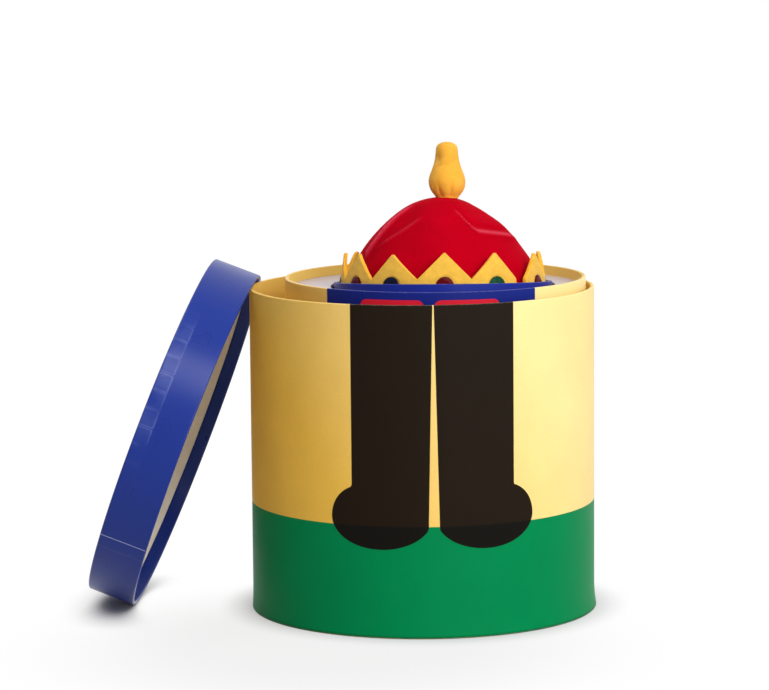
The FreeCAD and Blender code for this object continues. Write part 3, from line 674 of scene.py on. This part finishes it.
def crown_surface():
    """The band's closed section at every angle: outside, cut edge, inside and foot, under a zigzag edge."""
    ends = strip_start + np.array([-JOINT_SLOPE, 0, strip_length, strip_length + JOINT_SLOPE])
    tips = np.concatenate([point_turns - TIP_HALF, point_turns + TIP_HALF])
    valleys = (point_turns[1:] + point_turns[:-1]) / 2
    turns = np.concatenate([ends, tips, valleys])
    opening = CROWN_FOOT + JOINT_FLOOR
    levels = np.concatenate([[opening, CROWN_VALLEY, CROWN_VALLEY, opening],
                             np.full(tips.size, CROWN_TIP), np.full(valleys.size, CROWN_VALLEY)])
    order = np.argsort(turns)
    knots = np.append(turns[order], turns.min() + 360)
    steps = np.arange(turns.size * POINT_STEPS) / POINT_STEPS
    turn = np.interp(steps, np.arange(knots.size), knots)[None, :]
    wobble = 0.35 * np.sin(np.radians(3 * turn) + 0.8) + 0.25 * np.sin(np.radians(7 * turn) + 2.1)
    top = np.interp(turn, knots, np.append(levels[order], opening)) + wobble
    from_point = np.radians(np.abs((turn - point_turns[:, None] + 180) % 360 - 180).min(0, keepdims=True))
    angles = np.radians(turn)
    climb = np.linspace(0, 1, 44)[:, None]
    cut = np.radians(np.linspace(0, 180, 9))[:, None]
    thick = FELT / math.cos(math.atan(CROWN_LEAN))
    out_level = CROWN_FOOT + (top - CUT_ROUND - CROWN_FOOT) * climb
    cut_level = top - CUT_ROUND + CUT_ROUND * np.sin(cut) ** 0.6
    level = np.concatenate([out_level, cut_level, out_level[::-1], out_level[:1] - 0.2])
    depth = np.concatenate([np.zeros_like(out_level), thick * (1 - np.cos(cut)) / 2 + 0 * top,
                            np.full_like(out_level, thick), np.full_like(top, thick / 2)])
    cut_share = np.concatenate([0 * out_level, 0 * top + np.sin(cut) ** 0.5, 0 * out_level, 0 * top])
    radius = crown_radius(level) - depth
    from_stone = np.hypot(from_point * radius, level - STONE_LEVEL)
    outside = np.arange(len(level))[:, None] < len(climb)
    dimple = DIMPLE * (1 - smooth_step(STONE_RADIUS - 0.3, STONE_RADIUS + 0.7, from_stone)) * outside
    puff = 0.12 * np.sin(9 * angles + level * 0.7) * np.sin(level * 0.55 + 5 * angles)
    return turned(radius - dimple + puff, level, angles), cut_share


crown_points, crown_cut = crown_surface()
crown_points = placed(crown_points, HEAD_ORIGIN, HEAD_AXES)

# Needled wool felt, dyed yellow: matt, with a soft bloom of fibre ends and a denser, more orange cut edge
yellow_felt, add, shader, place = start_material(
    "wool_felt_yellow", Roughness=0.95, IOR=1.4, Specular_IOR_Level=0.15,
    Sheen_Weight=0.35, Sheen_Roughness=0.6, Sheen_Tint="#FFE9A8")
fluff = add("TexNoise", sized(place, 0.9, Detail=5.0, Roughness=0.7, Distortion=1.2))
tufts = add("TexNoise", sized(place, 4.5, Detail=2.0))
cut_edge = add("Attribute", attribute_name="cut_edge").outputs["Fac"]
dye = add("Mix", [fluff, "#E5A42B", "#FFD35A"], data_type="RGBA")
dye = add("Mix", [cut_edge, dye, "#FFB62C"], data_type="RGBA")
dye = toned(add, dye, tufts, 0.3, 0.7, 0.92, 1.06)
fuzz = add("Bump", {"Height": fluff, "Strength": 0.6, "Distance": 0.0004})
set_sockets(shader, {"Base Color": dye, "Normal": fuzz})

crown_quads = grid_quads(*crown_cut.shape, rows_join=True)
crown_mesh = mesh_of("felt_crown", crown_points, crown_quads, {"cut_edge": crown_cut})
new_piece(crown_mesh, yellow_felt, "head_drum", ["crown"])

# %% [markdown]
# ## The stones
#
# Flat-backed acrylic stones: a round girdle, a sloping bezel and a flat table, each ring of facets turned
# by half a step against the next. Flat shading keeps the facets, and a dulled polish gives soft glints.

# %% Stones
FACETS = 14
RING_RADII = [0.0, STONE_RADIUS, STONE_RADIUS, 4.3, 3.0, 0.0]
RING_OUT = [-1.6, -1.5, 0.0, 0.38, 0.6, 0.62]
RING_TURN = [0.0, 0.0, 0.0, 0.5, 0.0, 0.0]
# Colour, the first point that has it, and the step to the next
STONE_COLOURS = {"red": ("#5C0009", 0, 2), "green": ("#00482A", 3, 4), "blue": ("#0A0D2C", 1, 4)}


def stone_points(numbers):
    """Stones at numbered points: rings of facets in each stone's frame, out along the band's normal."""
    radius, out, turn = np.array([RING_RADII, RING_OUT, RING_TURN])[:, None, :, None]
    facet = (np.arange(FACETS) + turn) * 2 * math.pi / FACETS
    across, along = radius * np.sin(facet), -radius * np.cos(facet)
    lean = math.atan(CROWN_LEAN)
    outward = crown_radius(STONE_LEVEL) + out * math.cos(lean) - along * math.sin(lean)
    level = STONE_LEVEL + out * math.sin(lean) + along * math.cos(lean)
    around = np.radians(point_turns[numbers])[:, None, None] + np.arctan2(across, outward)
    return placed(turned(np.hypot(outward, across), level, around), HEAD_ORIGIN, HEAD_AXES)


for stone, (code, first, step) in STONE_COLOURS.items():
    points = stone_points(np.arange(first, POINTS, step))
    count, rings = points.shape[:2]
    quads = grid_quads(rings, FACETS, rows_join=False) + (np.arange(count) * rings * FACETS)[:, None, None]
    # Cast acrylic, tinted through: dark inside, with a polish that has gone dull
    acrylic, add, shader, place = start_material(f"cast_acrylic_{stone}", Roughness=0.16, IOR=1.49,
                                                 Specular_IOR_Level=0.07)
    swirl = add("TexNoise", sized(place, 3.5, Detail=2.0))
    set_sockets(shader, {"Base Color": toned(add, code, swirl, 0.3, 0.7, 0.7, 1.25)})
    stone_mesh = mesh_of(f"crown_stones_{stone}", points, quads.reshape(-1, 4))
    new_piece(stone_mesh, acrylic, "head_drum", [f"jewels_{stone}"], smooth=False)

# %% [markdown]
# ## Stuffed cloth
#
# The cap and the knob on it are stuffed. A stuffed piece is best swollen by the cloth solver: start from a
# slightly smaller closed shape, remesh it evenly, and let pressure push it out with gravity off. The travel
# of each point is cut short, so the solver rounds the shape and never lets it drift. Gathers, dents and
# creases are pressed in afterwards, because the remesh would wipe them out.

# %% Swelling a closed shape
SOLVER_FRAMES, SOLVER_QUALITY = 16, 6
CLOTH_STIFFNESS, CLOTH_MASS = 1.0, 0.15


def inset(radii, heights, distance):
    """A profile moved inwards along its normal, which is its direction turned by a quarter."""
    out, up = np.gradient(radii), np.gradient(heights)
    length = np.hypot(out, up)
    return np.maximum(radii - distance * up / length, 0), heights + distance * out / length


def points_of(mesh):
    """A mesh's points, in mm."""
    flat = np.empty(len(mesh.vertices) * 3, np.float32)
    mesh.vertices.foreach_get("co", flat)
    return flat.reshape(-1, 3).astype(float) / MM


def move_points(mesh, points):
    """Put a mesh's points at new places, in mm."""
    mesh.vertices.foreach_set("co", (points * MM).astype(np.float32).ravel())
    mesh.update()


def swell(skin, pressure, limit, held):
    """Push a closed mesh out by cloth pressure, by at most a limit in mm; the points held stay."""
    rest = points_of(skin)
    cloth = show(skin.name, skin)
    cloth.vertex_groups.new(name="held").add(np.flatnonzero(held).tolist(), 1.0, "REPLACE")
    solver = cloth.modifiers.new("cloth", "CLOTH")
    set_all(solver.settings, {
        "quality": SOLVER_QUALITY, "mass": CLOTH_MASS, "tension_stiffness": CLOTH_STIFFNESS,
        "compression_stiffness": CLOTH_STIFFNESS, "shear_stiffness": CLOTH_STIFFNESS / 3,
        "use_pressure": True, "uniform_pressure_force": pressure, "vertex_group_mass": "held"})
    solver.settings.effector_weights.gravity = 0.0
    solver.point_cache.frame_end = SOLVER_FRAMES
    for step in range(1, SOLVER_FRAMES + 1):
        bpy.context.scene.frame_set(step)
    travel = points_of(cloth.evaluated_get(bpy.context.evaluated_depsgraph_get()).data) - rest
    length = np.linalg.norm(travel, axis=1, keepdims=True)
    print(f"{skin.name}: cloth moved {length.mean():.2f} mm on average, {length.max():.2f} mm at most")
    bpy.data.objects.remove(cloth)
    move_points(skin, rest + travel * np.minimum(1, limit / np.maximum(length, 1e-6)))
    bpy.context.scene.frame_set(1)


def stuffed(name, rings, heights, columns, origin, voxel, pressure, limit, held_below):
    """A turned profile, remeshed, swollen above a held level and made finer."""
    angles = np.linspace(-math.pi, math.pi, columns, endpoint=False)
    points = placed(turned(rings[:, None], heights[:, None], angles), origin, HEAD_AXES)
    start = mesh_of(name, points, grid_quads(len(rings), columns, rows_join=False))
    skin = modified(start, "REMESH", mode="VOXEL", voxel_size=voxel * MM)
    swell(skin, pressure, limit, (points_of(skin) - origin) @ HEAD_AXES[2] < held_below)
    return modified(skin, "SUBSURF", levels=1, render_levels=1)


def napped(add, shader, fibres, patches, dyes, tones):
    """Two dyes in soft patches under a raised nap that is uneven in tone; returns the colour and the nap."""
    nap = add("TexNoise", fibres)
    colour = add("Mix", [add("TexNoise", patches), *dyes], data_type="RGBA")
    colour = toned(add, colour, nap, 0.25, 0.75, *tones)
    bloom = add("Bump", {"Height": nap, "Strength": 0.35, "Distance": 0.0003})
    set_sockets(shader, {"Base Color": colour, "Normal": bloom})
    return colour, nap


# %% [markdown]
# ## The cap
#
# A dome of red velvet, stuffed and tucked inside the crown. Velvet is a cut pile: it looks deep and dark
# where you look along the pile, and gets a pale bloom where it turns away. The dome's cloth has slipped a
# little: two ridges run down its left, and on the right it sags over a rounded roll. The tops of the ridges
# and the roll's lip carry a painted pink highlight.

# %% Cap
CAP_RADIUS, CAP_START, CAP_DOME, CAP_POWER = 54.6, 5.6, 43.5, 0.42
CAP_FOOT, CAP_TOP = -11.5, 48.42
CAP_SLACK, CAP_SWELL = 0.9, 1.15
RIDGE_WIDTH, LONG_HEIGHT, SHORT_HEIGHT = 1.8, 3.0, 1.4
# Folds as paths: angles of two ridges over levels, mm of sag over levels, and levels of a crease over angles
LONG_RIDGE = ([14, 18, 24, 30, 37, 43, 47], [-66, -66, -63.5, -61, -59, -56, -54])
SHORT_RIDGE = ([20, 25, 30, 35, 39], [-56, -48, -38, -29, -22])
SAG = ([4, 14, 22, 28, 34, 39, 44, 48], [0.9, 0.9, 0.4, 0.2, -0.6, -1.9, -2.2, -1.0])
CREASE = ([15, 20, 25, 28, 32, 49, 75, 100], [42, 39.8, 35, 32, 30, 28.8, 27.4, 25])


def cap_radius(level):
    """Radius of the dome: straight below its start, then a power of what is left of its height."""
    left = np.clip(1 - np.maximum(level - CAP_START, 0) / CAP_DOME, 0, 1)
    return CAP_RADIUS * left ** CAP_POWER


def ridge(angle, level, path_levels, path_angles):
    """A rounded ridge of height 1: a bell across a path of angles over levels, with soft ends."""
    low, high = path_levels[0], path_levels[-1]
    middle = np.interp(level, path_levels, path_angles)
    reach = np.radians(angle - middle) * np.maximum(cap_radius(level), 6)
    return plateau((low - 4, low + 6), (high - 6, high + 2), level) * bell(0, RIDGE_WIDTH, reach)


def cap_creases(points):
    """Ridges on the left, a sag and a roll on the right, and soft waves, along the radius; and painted
    highlights.
    """
    local = (points - HEAD_ORIGIN) @ HEAD_AXES.T
    angle = np.degrees(np.arctan2(local[:, 0], -local[:, 1]))
    level, spread = local[:, 2], np.hypot(local[:, 0], local[:, 1])
    long_ridge, short_ridge = ridge(angle, level, *LONG_RIDGE), ridge(angle, level, *SHORT_RIDGE)
    push = LONG_HEIGHT * long_ridge + SHORT_HEIGHT * short_ridge
    push += plateau((20, 70), (110, 160), angle) * np.interp(level, *SAG)
    creased = plateau((14, 26), (62, 92), angle)
    above = level - np.interp(angle, *CREASE)
    push += creased * (1.6 * bell(-1.4, 1.9, above) - 2.2 * bell(1.9, 1.8, above))
    turn = np.radians(angle)
    waves = 0.35 * np.sin(turn * 8 + level * 0.10) + 0.25 * np.sin(turn * 5 - level * 0.16)
    push += waves * plateau((2, 12), (38, 47), level)
    push *= smooth_step(3, 9, level)
    share = np.where(spread > 1e-3, push / np.maximum(spread, 1e-3), 0)
    local[:, :2] *= 1 + np.clip(share, -0.3, 0.3)[:, None]
    # Painted highlight: a pink sheen along the two ridges and the lip of the roll, kept as a mask on the
    # mesh
    lip = creased * bell(-0.3, 0.95, above)
    painted_crest_highlights = np.clip(1.2 * long_ridge ** 2 + 0.3 * short_ridge ** 2 + 0.9 * lip, 0, 1)
    return placed(local, HEAD_ORIGIN, HEAD_AXES), painted_crest_highlights


cap_levels = CAP_FOOT + (CAP_TOP - CAP_FOOT) * np.sin(np.linspace(0, math.pi / 2, 60)) ** 0.85
cap_rings = np.append(cap_radius(cap_levels) - CAP_SLACK, [5.0, 0.0])
cap_heights = np.append(cap_levels, [CAP_TOP + 0.5, CAP_TOP + 0.7])
cap_rings, cap_heights = inset(cap_rings, cap_heights, CAP_SWELL * smooth_step(2, 16, cap_heights))
cap_rings, cap_heights = np.append([0.0, 30.0], cap_rings), np.append([CAP_FOOT, CAP_FOOT], cap_heights)
cap_mesh = stuffed("velvet_cap", cap_rings, cap_heights, columns=160, origin=HEAD_ORIGIN,
                   voxel=2.6, pressure=300.0, limit=1.6, held_below=1.0)
cap_points, cap_painted_highlights = cap_creases(points_of(cap_mesh))
move_points(cap_mesh, cap_points)
cap_mesh.attributes.new("painted_highlight", "FLOAT", "POINT").data.foreach_set("value", cap_painted_highlights.astype(np.float32))

# Cotton velvet: a cut pile, deep red, with a bloom at a low angle, brushed patches and a painted pink
# highlight on the folds
red_velvet, add, shader, place = start_material(
    "cotton_velvet_red", Roughness=0.85, IOR=1.4, Specular_IOR_Level=0.02,
    Sheen_Weight=0.45, Sheen_Roughness=0.25, Sheen_Tint="#FF4458")
fibres = sized(place, 0.8, Detail=4.0, Roughness=0.65)
brushed = sized(place, 20, Detail=3.0, Distortion=0.8)
colour, pile = napped(add, shader, fibres, brushed, ("#AC0016", "#C2001B"), (0.86, 1.1))
painted_highlight = add("Attribute", attribute_name="painted_highlight").outputs["Fac"]
highlight_share = add("Math", [painted_highlight, pile], operation="MULTIPLY")
colour = add("Mix", [highlight_share, colour, "#F05A74"], data_type="RGBA")
set_sockets(shader, {"Base Color": colour})

velvet_cap = new_piece(cap_mesh, red_velvet, "head_drum", ["cap"])

# %% [markdown]
# ## The knob on the cap
#
# A small bag of golden cloth, stuffed into a pear shape and gathered at its foot with a thread. The gathers
# are short grooves that fade out over the belly, and the cloth is dented on its upper left.

# %% Knob
KNOB_SHIFT, KNOB_FOOT, KNOB_HEIGHT = 2.8, 48.42, 33.2
KNOB_SHARES = [0.0, 0.07, 0.14, 0.21, 0.30, 0.36, 0.42, 0.49, 0.56, 0.63, 0.70, 0.77, 0.84, 0.92, 0.97, 1.0]
KNOB_RADII = [5.8, 7.7, 9.4, 10.2, 10.3, 10.2, 9.6, 8.7, 7.9, 7.2, 6.7, 6.4, 6.2, 6.1, 5.6, 4.6]
KNOB_SWELL = 0.25
KNOB_ORIGIN = HEAD_ORIGIN + KNOB_SHIFT * HEAD_AXES[0] + KNOB_FOOT * HEAD_AXES[2]


def rounded_profile(shares, values, at):
    """A smooth curve through a profile's corners: straight steps averaged over 0.03 either way."""
    window = np.linspace(-0.03, 0.03, 13)[None, :]
    return np.interp(np.clip(at[:, None] + window, 0, 1), shares, values).mean(1)


def knob_gathers(points):
    """Grooves at uneven angles that fade up the belly, and a shallow dent, pressed in along the radius."""
    local = (points - KNOB_ORIGIN) @ HEAD_AXES.T
    angle = np.arctan2(local[:, 0], -local[:, 1])
    level = local[:, 2]
    fade = plateau((-0.5, 1.0), (3.0, 11.0), level)
    grooves = np.abs(np.cos(3.5 * angle + 0.35 * np.sin(2 * angle) + 0.5)) ** 0.5
    press = -1.4 * fade * (1 - grooves)
    dent = bell(22.0, 3.2, level) * bell(-0.9, 0.45, angle)
    fold = bell(19.5, 1.3, level - 2.0 * angle) * bell(-0.2, 0.8, angle)
    press -= 1.1 * dent + 0.6 * fold
    local[:, :2] *= (1 + press / np.maximum(np.hypot(local[:, 0], local[:, 1]), 3.0))[:, None]
    return placed(local, KNOB_ORIGIN, HEAD_AXES)


knob_share = np.linspace(0, 1, 70)
knob_rings = rounded_profile(KNOB_SHARES, KNOB_RADII, knob_share) + 0.35 * smooth_step(0.05, 0.2, knob_share)
knob_rings = knob_rings * np.sqrt(np.clip(1 - np.clip((knob_share - 0.9) / 0.1, 0, 1) ** 3.5, 0, 1))
knob_heights = knob_share * (KNOB_HEIGHT - KNOB_SWELL) - 0.6
knob_rings, knob_heights = inset(knob_rings, knob_heights, KNOB_SWELL * smooth_step(1, 5, knob_heights))
knob_rings, knob_heights = np.append([0.0, 4.0], knob_rings), np.append([-1.0, -1.0], knob_heights)
knob_mesh = stuffed("golden_knob", knob_rings, knob_heights, columns=72, origin=KNOB_ORIGIN,
                    voxel=1.1, pressure=6000.0, limit=0.8, held_below=2.0)
move_points(knob_mesh, knob_gathers(points_of(knob_mesh)))

# Brushed cotton, golden: a soft plain weave with a raised nap, matt with a slight bloom
gold_cloth, add, shader, place = start_material(
    "brushed_cotton_gold", Roughness=0.9, IOR=1.4, Specular_IOR_Level=0.15,
    Sheen_Weight=0.3, Sheen_Roughness=0.5, Sheen_Tint="#FFE0A0")
fibres = sized(place, 0.7, Detail=4.0, Roughness=0.65)
napped(add, shader, fibres, sized(place, 7, Detail=2.0), ("#EFA32C", "#FCC14C"), (0.9, 1.08))

golden_knob = new_piece(knob_mesh, gold_cloth, "head_drum", ["finial"])

# %% [markdown]
# ## Thread and spring
#
# Both are a round section carried along a closed or open path. The thread is two twisted plies round the
# knob's foot. The spring's path has the same flat end turns and even climb as the CAD one, and it stretches
# between the torso drum and the head drum when the head pops up.

# %% Thread and spring
TIE_RADIUS, TIE_LEVEL, TIE_TWISTS = 6.3, 0.35, 34
PLY_RADIUS, PLY_OFFSET, PLY_STEPS, PLY_SIDES = 0.26, 0.24, 360, 8
SPRING_RADIUS, SPRING_WIRE, SPRING_TURNS = 30.0, 2.0, 8
TURN_STEPS, WIRE_SIDES = 72, 12
FLAT_TURNS, RAMP_TURNS = 0.5, 0.6
SPRING_FOOT = np.array([12.4, 0.0, 10.8])
SPRING_HEAD = HEAD_ORIGIN - HEAD_AXES[2] * 85.3


def tube(path, radius, sides, closes):
    """A round tube along a path: circles across the path's direction, turned from one fixed side vector."""
    ahead = np.roll(path, -1, 0) - np.roll(path, 1, 0) if closes else np.gradient(path, axis=0)
    ahead = ahead / np.linalg.norm(ahead, axis=1, keepdims=True)
    side = np.cross(ahead, HEAD_AXES[2])
    side = side / np.linalg.norm(side, axis=1, keepdims=True)
    over = np.cross(side, ahead)
    turn = np.linspace(0, 2 * math.pi, sides, endpoint=False)[None, :, None]
    return path[:, None, :] + radius * (np.cos(turn) * side[:, None, :] + np.sin(turn) * over[:, None, :])


def climbed(turn):
    """Turns climbed at the full pitch: none while flat, then a smooth ramp, then one for one."""
    part = np.clip((turn - FLAT_TURNS) / RAMP_TURNS, 0, 1)
    return RAMP_TURNS * (part ** 3 - part ** 4 / 2) + np.maximum(turn - FLAT_TURNS - RAMP_TURNS, 0)


def spring_path(turn):
    """The wire's centre: a circle that climbs a cubic axis, upright at the foot and leaning at the head."""
    whole = 2 * climbed(SPRING_TURNS / 2)
    part = np.where(turn <= SPRING_TURNS / 2, climbed(turn), whole - climbed(SPRING_TURNS - turn)) / whole
    length = np.linalg.norm(SPRING_HEAD - SPRING_FOOT)
    cube, square = (part ** 3)[:, None], (part ** 2)[:, None]
    axis = SPRING_FOOT * (2 * cube - 3 * square + 1) + SPRING_HEAD * (3 * square - 2 * cube)
    axis = axis + UPRIGHT[2] * length * (cube - 2 * square + part[:, None])
    axis = axis + HEAD_AXES[2] * length * (cube - square)
    lean = HEAD_LEAN * part
    across = np.column_stack([0 * lean, np.cos(lean), -np.sin(lean)])
    angle = 2 * math.pi * turn[:, None]
    return axis + SPRING_RADIUS * (np.cos(angle) * UPRIGHT[0] + np.sin(angle) * across)


ply_turn = np.linspace(0, 2 * math.pi, PLY_STEPS, endpoint=False)
plies = []
for start in (0.0, math.pi):
    twist = TIE_TWISTS * ply_turn + start
    ply = turned(TIE_RADIUS + PLY_OFFSET * np.cos(twist), TIE_LEVEL + PLY_OFFSET * np.sin(twist), ply_turn)
    plies.append(tube(placed(ply, KNOB_ORIGIN, HEAD_AXES), PLY_RADIUS, PLY_SIDES, True))
tie_quads = grid_quads(PLY_STEPS, PLY_SIDES, rows_join=True)[:, ::-1]
tie_quads = np.concatenate([tie_quads, tie_quads + PLY_STEPS * PLY_SIDES])
tie_mesh = mesh_of("knob_thread", np.stack(plies), tie_quads)
new_piece(tie_mesh, gold_cloth, "head_drum", ["finial_tie"])

spring_line = spring_path(np.linspace(0, SPRING_TURNS, SPRING_TURNS * TURN_STEPS + 1))
spring_ends = np.repeat(spring_line[[0, -1], None], WIRE_SIDES, 1)
spring_rings = tube(spring_line, SPRING_WIRE / 2, WIRE_SIDES, False)
spring_rings = np.concatenate([spring_ends[:1], spring_rings, spring_ends[1:]])
spring_quads = grid_quads(len(spring_rings), WIRE_SIDES, rows_join=False)[:, ::-1]

# Drawn spring steel, oiled and bare: a cool grey shine that is uneven along the wire
spring_steel, add, shader, place = start_material("drawn_spring_steel", Metallic=1.0)
drawn = add("TexNoise", sized(place, 2.5, Detail=3.0))
shade = add("Mix", [drawn, "#8C8C90", "#C9C9CC"], data_type="RGBA")
gloss = add("MapRange", [drawn, 0.3, 0.7, 0.24, 0.42])
set_sockets(shader, {"Base Color": shade, "Roughness": gloss})

spring_mesh = mesh_of("coil_spring", spring_rings, spring_quads)
coil_spring = new_piece(spring_mesh, spring_steel, None, ["pop_spring"])
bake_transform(coil_spring)

# %% [markdown]
# ## Boards
#
# What is left keeps its CAD shape. The drum walls are lined with yellow paper, the shoulder ring is a pale
# coated board, the lid's board is cream, and the hidden floors and hoops are grey chipboard, pressed from
# waste paper with flecks in it.

# %% Boards


def dress(material, *names):
    """Give CAD nodes a material."""
    for name in names:
        nodes[name].data.materials.clear()
        nodes[name].data.materials.append(material)
    print(f"{material.name}: {', '.join(names)}")


# Paper-faced boards: rough liners inside the drums and the lid, and a smooth coating on the ring
dress(plain_paper("yellow_lined_board", 0.3, "#F2CC66", 0.55, 0.05), "leg_drum_wall", "torso_wall")
dress(plain_paper("pale_coated_board", 0.4, "#C2B8BE", 0.32, 0.03), "shoulder_ring")
dress(plain_paper("blue_lined_board", 0.4, "#1C2A7C", 0.4, 0.07), "head_drum_wall")
dress(plain_paper("cream_board", 0.2, "#F6EEE4", 0.7, 0.04), "lid_skirt", "lid_top")
dress(plain_paper("cream_liner_paper", 0.25, "#EFE7DC", 0.75, 0.04), "lid_liner")
dress(spring_steel, "spring_seat_clips", "spring_top_clips")

# Grey chipboard: pulped waste paper, matt, with dark flecks
chipboard, add, shader, place = start_material("grey_chipboard", IOR=1.4, Specular_IOR_Level=0.2)
flecks = add("TexVoronoi", sized(place, 3.0, Randomness=1.0))
fleck = add("MapRange", [flecks, 0.1, 0.25, 0.35, 0.0])
colour = add("Mix", [fleck, "#A09686", "#5C5348"], data_type="RGBA")
paper_finish(add, shader, place, colour, 0.85, 0.08)
dress(chipboard, "leg_drum_base", "leg_drum_base_hoop", "torso_base", "torso_base_hoop", "shoulder_hoop",
      "spring_seat", "head_platform", "head_stop_flange", "hat_board", "hat_board_hoop")
